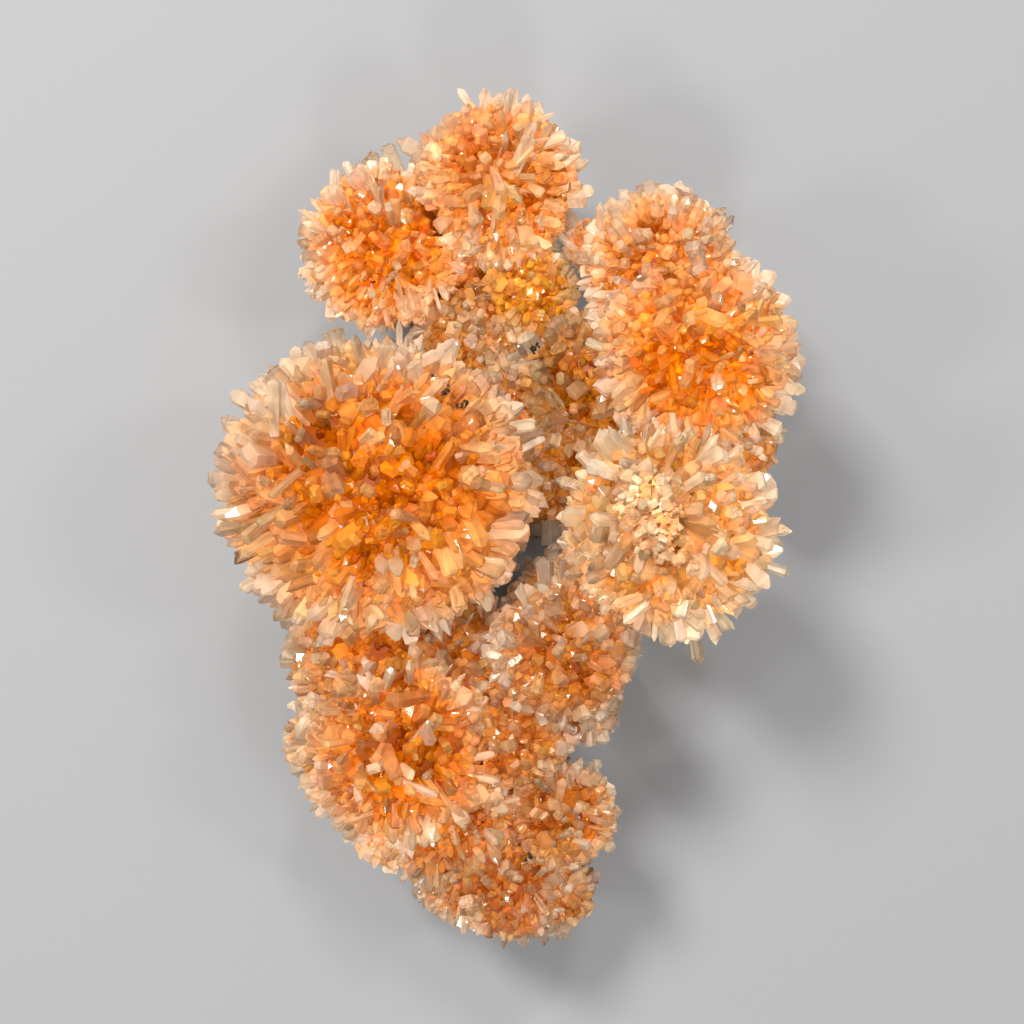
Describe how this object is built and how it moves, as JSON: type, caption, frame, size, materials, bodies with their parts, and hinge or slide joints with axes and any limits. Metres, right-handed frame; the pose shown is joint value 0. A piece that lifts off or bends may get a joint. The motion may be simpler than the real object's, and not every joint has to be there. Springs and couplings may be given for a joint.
{
  "type": "creedite crystal cluster",
  "caption": "Loose mineral specimen: round sprays of radiating orange prismatic crystals grown into one long lumpy cluster, lying on a flat broken patch.",
  "frame": {"origin": "middle of the bounding box in X and Y, on the plane of the broken patches the specimen lies on", "axes": "+Y along the long side, towards the rounded top end; +Z out of the best face, up from the broken patches; +X to the right as that face is seen"},
  "size_m": [0.0576, 0.086, 0.0371],
  "materials": {
    "creedite": "vitreous"
  },
  "bodies": {
    "root": {"creedite_cluster": "creedite"}
  },
  "joints": []
}
